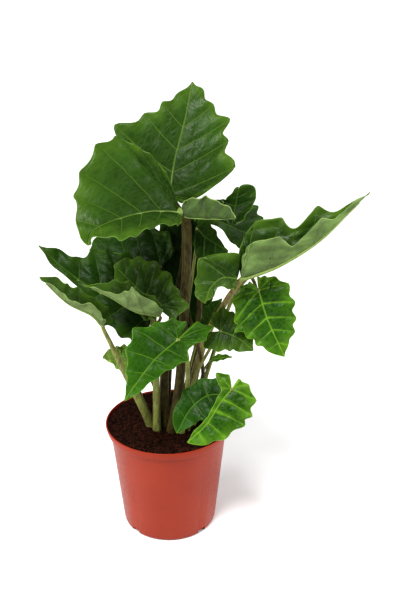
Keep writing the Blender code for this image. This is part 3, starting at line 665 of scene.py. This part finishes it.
def make_stalk(name, stalk):
    """A stalk with a flared foot, which runs on under its blade as the midrib."""
    base_radius, top_radius, route = stalk
    leaf = LEAVES[name.replace("stalk", "leaf")]
    foot = np.array(route[0], float)
    route = np.vstack([foot - (0, 0, STALK_BURIED), foot + (0, 0, STALK_UPRIGHT), *route[1:],
                       leaf["midrib"][0]])
    u = np.linspace(0, 1, STALK_RINGS)
    radius = (base_radius + (top_radius - base_radius) * u ** 0.7) * (1 + 0.22 * np.exp(-u * 28))
    rib = np.linspace(0.03, 0.9, RIB_RINGS)
    rib_radius = top_radius * np.linspace(0.65, 0.25, RIB_RINGS)
    ahead = unit(along(leaf["midrib"], rib + 0.02) - along(leaf["midrib"], rib - 0.02))
    face = np.array(leaf["face"], float)
    up = unit(face - (ahead @ face)[:, None] * ahead)
    rib_spine = along(leaf["midrib"], rib) - up * (rib_radius * 0.8)[:, None]
    spine = np.vstack([along(route, u), rib_spine])
    mesh = tube(name, spine * MM, np.concatenate([radius, rib_radius]) * MM, STALK_SIDES)
    item = bpy.data.objects.new(f"{name}_skin", mesh)
    bpy.context.collection.objects.link(item)
    tones = STALK_TONES.get(name, GREEN_STALK)
    mesh.materials.append(stalk_material(f"{name}_skin", tones))
    mesh.materials.append(stalk_material(f"{name}_rib", RIB_TONES))
    for face in mesh.polygons[(STALK_RINGS - 1) * STALK_SIDES:-2]:
        face.material_index = 1
    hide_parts(name)
    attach(item, "root")


def tube(name, spine, radius, sides):
    """A closed tube along spine."""
    ahead = unit(np.gradient(spine, axis=0))
    across = unit(np.cross(ahead, (0.31, -0.95, 0.05)))
    over = np.cross(ahead, across)
    turn = np.arange(sides) * math.tau / sides
    ring = np.cos(turn)[None, :, None] * across[:, None] + np.sin(turn)[None, :, None] * over[:, None]
    points = spine[:, None] + ring * radius[:, None, None]
    rows = len(spine)
    k = np.arange(rows - 1)[:, None] * sides
    j = np.arange(sides)[None, :]
    n = (j + 1) % sides
    faces = np.stack([k + j, k + n, k + sides + n, k + sides + j], axis=-1).reshape(-1, 4).tolist()
    faces.append(list(range(sides))[::-1])
    faces.append(list(range((rows - 1) * sides, rows * sides)))
    mesh = bpy.data.meshes.new(name)
    mesh.from_pydata(points.reshape(-1, 3).tolist(), [], faces)
    mesh.polygons.foreach_set("use_smooth", [True] * len(mesh.polygons))
    return mesh


def stalk_material(name, tones):
    graph = Graph(name)
    place = graph.node("ShaderNodeTexCoord").outputs["Object"]
    long_spots = graph.node("ShaderNodeVectorMath", {0: place, 1: (1, 1, 0.22)},
                            operation="MULTIPLY").outputs[0]
    streak = graph.noise(420, 3.0, long_spots)
    speck = graph.noise(900, 2.0, place)
    share = graph.ramp(graph.math("ADD", streak, graph.math("MULTIPLY", speck, 0.4)), 0.55, 0.9)
    tone = graph.mix(share, *tones)
    return graph.finish(Base_Color=tone, Roughness=0.5,
                        Normal=graph.bump(streak, 0.3 * MM, 0.5), Specular_IOR_Level=0.16)


# ---------------------------------------------------------------- pot and soil

def turned(name, profile):
    """A closed body turned about Z from (radius, height) points in mm; the ends are on the axis."""
    mesh = bpy.data.meshes.new(name)
    mesh.from_pydata([(r * MM, 0, z * MM) for r, z in profile], [],
                     [(i, i + 1) for i in range(len(profile) - 1)])
    item = bpy.data.objects.new(name, mesh)
    bpy.context.collection.objects.link(item)
    screw = item.modifiers.new("turn", "SCREW")
    screw.steps = POT_STEPS
    screw.render_steps = POT_STEPS
    screw.use_merge_vertices = True
    screw.merge_threshold = 0.05 * MM
    screw.use_normal_calculate = True
    screw.use_smooth_shade = True
    return item


def arc(centre, radius, start, end, count=6):
    """Points of a round corner, in (radius, height)."""
    turns = [math.radians(start + (end - start) * k / count) for k in range(count + 1)]
    return [(centre[0] + radius * math.cos(a), centre[1] + radius * math.sin(a)) for a in turns]


def make_pot():
    band = POT_HEIGHT - RIM_BAND_HEIGHT
    profile = [
        (0, 1.2), (FOOT_RADIUS - 8, 1.2), (FOOT_RADIUS - 6, 0),
        *arc((FOOT_RADIUS - 2, 6), 6, -90, -12),
        (WALL_TOP_RADIUS - 0.6, band - 3), (WALL_TOP_RADIUS + 0.4, band - 0.6),
        *arc((RIM_RADIUS - 3.4, band + 1.2), 1.2, -90, -6, 4),
        *arc((RIM_RADIUS - 1.1, POT_HEIGHT - 1.1), 1.1, -8, 180, 8),
        (RIM_RADIUS - 2.4, band + 5), (WALL_TOP_RADIUS - 2, band - 1),
        (BASE_RADIUS - 1.8, FOOT_HEIGHT + 1), (FOOT_RADIUS - 4, 2.6), (0, 2.6),
    ]
    pot = turned("pot_shell", profile)
    cut_notches(pot)
    graph = Graph("pot_terracotta_plastic")
    place = graph.node("ShaderNodeTexCoord").outputs["Object"]
    height = graph.node("ShaderNodeSeparateXYZ", {0: place}).outputs["Z"]
    cloud = graph.noise(18, 4.0, place)
    dust = graph.noise(260, 2.0, place)
    tone = graph.mix(graph.ramp(cloud, 0.35, 0.65), *POT_TONES)
    speck = graph.ramp(graph.noise(330, 1.0, place), 0.74, 0.78)
    speck = graph.math("MULTIPLY", speck, graph.ramp(height, 45 * MM, 15 * MM))
    tone = graph.mix(speck, tone, POT_SPECK)
    pot.data.materials.clear()
    pot.data.materials.append(graph.finish(
        Base_Color=tone, Roughness=graph.ramp(dust, 0.3, 0.7, 0.34, 0.44),
        Normal=graph.bump(dust, 0.05 * MM, 0.4), Specular_IOR_Level=0.2))
    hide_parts("pot")
    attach(pot, "root")


def cut_notches(pot):
    """Four bites out of the foot's edge, which let water out."""
    cutters = []
    for k in range(NOTCH_COUNT):
        turn = math.radians(45) + k * math.tau / NOTCH_COUNT
        bpy.ops.mesh.primitive_cube_add(size=1)
        cutter = bpy.context.object
        cutter.scale = (NOTCH_DEPTH * MM, NOTCH_WIDTH * MM, 2 * NOTCH_HEIGHT * MM)
        reach = (FOOT_RADIUS + NOTCH_REACH) * MM
        cutter.location = (math.cos(turn) * reach, math.sin(turn) * reach, 0)
        cutter.rotation_euler.z = turn
        cut = pot.modifiers.new("notch", "BOOLEAN")
        cut.operation = "DIFFERENCE"
        cut.solver = "EXACT"
        cut.object = cutter
        cutters.append(cutter)
    bpy.context.view_layer.update()
    seen = pot.evaluated_get(bpy.context.evaluated_depsgraph_get())
    pot.data = bpy.data.meshes.new_from_object(seen)
    pot.modifiers.clear()
    pot.data.set_sharp_from_angle(angle=math.radians(40))
    for cutter in cutters:
        bpy.data.objects.remove(cutter, do_unlink=True)


def make_soil():
    """A plug with a rough top, open at its bottom, where the pot hides it."""
    rings, sides = SOIL_RINGS, SOIL_SIDES
    inner = RIM_RADIUS - 3
    points = []
    for k in range(rings + 1):
        radius = inner * (k / rings) ** 0.8
        for j in range(sides):
            turn = j * math.tau / sides
            x, y = radius * math.cos(turn), radius * math.sin(turn)
            spot = Vector((x, y, 0))
            height = SOIL_TOP + 2.2 + 2.0 * noise.noise(spot / 22) + 1.8 * noise.noise(spot / 7)
            height += 1.1 * noise.noise(spot / 3) + 0.9
            height -= 1.2 * (k / rings) ** 6
            points.append((x * MM, y * MM, height * MM))
    lower = [
        (WALL_TOP_RADIUS - SOIL_WALL_GAP, POT_HEIGHT - RIM_BAND_HEIGHT - 2),
        (BASE_RADIUS - SOIL_WALL_GAP, FOOT_HEIGHT + 2),
        (FOOT_RADIUS - 4, 3),
    ]
    for radius, height in lower:
        for j in range(sides):
            turn = j * math.tau / sides
            points.append((radius * math.cos(turn) * MM, radius * math.sin(turn) * MM, height * MM))
    faces = []
    for k in range(rings + len(lower)):
        for j in range(sides):
            n = (j + 1) % sides
            faces.append((k * sides + j, k * sides + n, (k + 1) * sides + n, (k + 1) * sides + j)[::-1])
    points, faces, _ = merge(np.array(points), np.array(faces), np.zeros((len(points), 1)))
    mesh = bpy.data.meshes.new("soil_plug")
    mesh.from_pydata(points.tolist(), [], faces)
    soil = bpy.data.objects.new("soil_plug", mesh)
    bpy.context.collection.objects.link(soil)
    graph = Graph("soil_dark_crumbs")
    place = graph.node("ShaderNodeTexCoord").outputs["Object"]
    grain = graph.noise(700, 6.0, place)
    clump = graph.noise(170, 4.0, place)
    tone = graph.mix(graph.ramp(clump, 0.35, 0.7), *SOIL_TONES)
    tone = graph.mix(graph.ramp(grain, 0.60, 0.70), tone, SOIL_GRAIN)
    mesh.materials.append(graph.finish(Base_Color=tone, Roughness=0.95, Specular_IOR_Level=0.05,
                                       Normal=graph.bump(grain, 1.5 * MM)))
    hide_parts("soil")
    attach(soil, "root")


# ---------------------------------------------------------------- stage

def make_stage():
    bpy.ops.mesh.primitive_plane_add(size=FLOOR_SIZE, location=(0, 0, 0))
    floor = bpy.context.object
    floor.name = "floor"
    floor.data.materials.append(Graph("floor_white").finish(Base_Color=(0.9, 0.9, 0.9), Roughness=0.8))
    world = bpy.data.worlds.new("studio")
    bpy.context.scene.world = world
    world.use_nodes = True
    world.node_tree.nodes["Background"].inputs["Color"].default_value = (1, 1, 1, 1)
    world.node_tree.nodes["Background"].inputs["Strength"].default_value = WORLD_STRENGTH
    add_light("left", (-1.3, -0.5, 0.9))
    add_light("right", (1.2, -0.2, 1.0))
    sun = bpy.data.lights.new("sun", "SUN")
    sun.energy = SUN_STRENGTH
    sun.angle = SUN_SPREAD
    top = bpy.data.objects.new("sun", sun)
    top.rotation_euler = (math.radians(28), math.radians(-14), 0)
    bpy.context.collection.objects.link(top)


def add_light(name, place):
    data = bpy.data.lights.new(name, "AREA")
    data.shape = "DISK"
    data.size = LAMP_SIZE
    data.energy = LAMP_POWER
    light = bpy.data.objects.new(name, data)
    light.location = place
    light.rotation_euler = (Vector(LAMP_TARGET) - Vector(place)).to_track_quat("-Z", "Y").to_euler()
    bpy.context.collection.objects.link(light)


def add_camera():
    data = bpy.data.cameras.new("camera")
    data.lens = CAMERA_LENS
    camera = bpy.data.objects.new("camera", data)
    camera.location = CAMERA_PLACE
    camera.rotation_euler = (math.radians(90) - CAMERA_DOWN, 0, 0)
    bpy.context.collection.objects.link(camera)
    bpy.context.scene.camera = camera


for leaf_name, leaf_shape in LEAVES.items():
    make_leaf(leaf_name, leaf_shape)
for stalk_name, stalk_shape in STALKS.items():
    make_stalk(stalk_name, stalk_shape)
make_pot()
make_soil()
make_stage()
add_camera()
bpy.context.scene.view_settings.view_transform = "Standard"
bpy.context.scene.view_settings.look = "Medium High Contrast"
